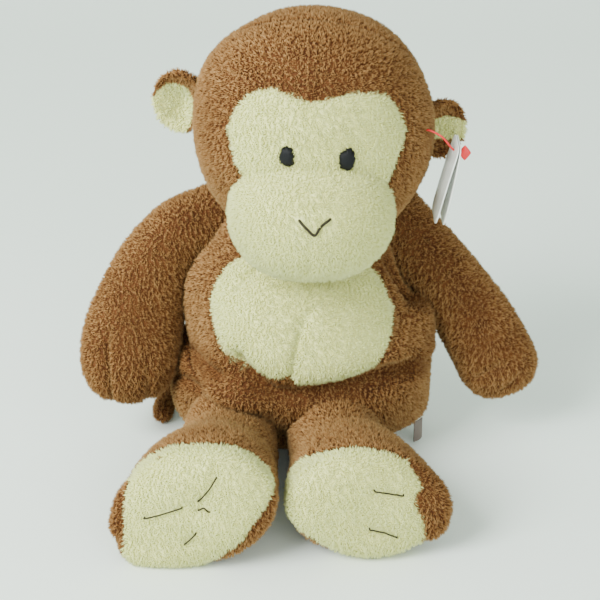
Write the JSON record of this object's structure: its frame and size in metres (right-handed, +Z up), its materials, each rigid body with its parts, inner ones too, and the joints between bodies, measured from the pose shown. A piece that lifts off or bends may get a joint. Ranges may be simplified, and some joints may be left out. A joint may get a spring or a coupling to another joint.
{
  "type": "plush monkey",
  "caption": "Sitting stuffed monkey in brown pile fabric with cream face, muzzle, belly and soles, a pellet seat, sewn limbs that swing, and a blank hang card.",
  "frame": {"origin": "centre of the body's flat seat, on the surface that the toy sits on", "axes": "the toy faces -Y, +X is its own left side, +Z is up"},
  "size_m": [0.2223, 0.1887, 0.2215],
  "materials": {
    "brown_pile": "matte",
    "cream_pile": "matte",
    "stuffing": "matte",
    "pellets": "matte",
    "dark_thread": "satin",
    "label_ribbon": "satin",
    "card": "satin",
    "red_nylon": "gloss"
  },
  "bodies": {
    "body": {"body_skin": "brown_pile", "belly_patch": "cream_pile", "seat_pellet_bag": "pellets", "body_stuffing": "stuffing"},
    "neck": {"neck_gusset": "brown_pile"},
    "head": {"head_skin": "brown_pile", "face_mask": "cream_pile", "head_stuffing": "stuffing", "eye_right": "dark_thread", "eye_left": "dark_thread", "muzzle_skin": "cream_pile", "muzzle_stuffing": "stuffing", "mouth_stitch": "dark_thread"},
    "ear_right": {"ear_right_lining": "cream_pile", "ear_right_back": "brown_pile"},
    "ear_left": {"ear_left_lining": "cream_pile", "ear_left_back": "brown_pile"},
    "arm_right": {"arm_right_skin": "brown_pile", "arm_right_stuffing": "stuffing"},
    "arm_left": {"arm_left_skin": "brown_pile", "arm_left_stuffing": "stuffing"},
    "leg_right": {"leg_right_skin": "brown_pile", "leg_right_sole": "cream_pile", "leg_right_stuffing": "stuffing"},
    "leg_left": {"leg_left_skin": "brown_pile", "leg_left_sole": "cream_pile", "leg_left_stuffing": "stuffing"},
    "tail": {"tail": "brown_pile"},
    "label": {"sewn_label": "label_ribbon"},
    "tag": {"tag_back_leaf": "card", "tag_front_leaf": "card", "tag_tie": "red_nylon"}
  },
  "joints": [
    {"name": "neck_turn", "type": "hinge", "parent": "body", "child": "neck", "pos_m": [0.0065, -0.014, 0.166], "axis": [0, 0, -1], "range_deg": [-25, 25]},
    {"name": "neck_nod", "type": "hinge", "parent": "neck", "child": "head", "pos_m": [0.0065, -0.014, 0.166], "axis": [1, 0, 0], "range_deg": [-20, 0]},
    {"name": "arm_right_raise", "type": "hinge", "parent": "body", "child": "arm_right", "pos_m": [-0.04, 0.014, 0.111], "axis": [0, 1, 0], "range_deg": [0, 60]},
    {"name": "arm_left_raise", "type": "hinge", "parent": "body", "child": "arm_left", "pos_m": [0.0446, 0.0146, 0.1106], "axis": [0, -1, 0], "range_deg": [0, 60]},
    {"name": "leg_right_splay", "type": "hinge", "parent": "body", "child": "leg_right", "pos_m": [-0.0334, -0.04, 0.022], "axis": [0, 0, -1], "range_deg": [0, 35]},
    {"name": "leg_left_splay", "type": "hinge", "parent": "body", "child": "leg_left", "pos_m": [0.0162, -0.04, 0.022], "axis": [0, 0, 1], "range_deg": [0, 35]},
    {"name": "ear_right_fold", "type": "hinge", "parent": "head", "child": "ear_right", "pos_m": [-0.0472, -0.01, 0.1765], "axis": [0, 0, 1], "range_deg": [-20, 20]},
    {"name": "ear_left_fold", "type": "hinge", "parent": "head", "child": "ear_left", "pos_m": [0.0602, -0.01, 0.1635], "axis": [0, 0, 1], "range_deg": [-20, 20]},
    {"name": "tail_swing", "type": "hinge", "parent": "body", "child": "tail", "pos_m": [0, 0.04, 0.0064], "axis": [0, 0, -1], "range_deg": [0, 60]},
    {"name": "label_flap", "type": "hinge", "parent": "body", "child": "label", "pos_m": [0.0564, -0.014, 0.007], "axis": [0, 0, 1], "range_deg": [-20, 20]},
    {"name": "tag_swing", "type": "hinge", "parent": "head", "child": "tag", "pos_m": [0.05792, -0.03415, 0.17151], "axis": [0, -1, 0], "range_deg": [0, 25]}
  ]
}
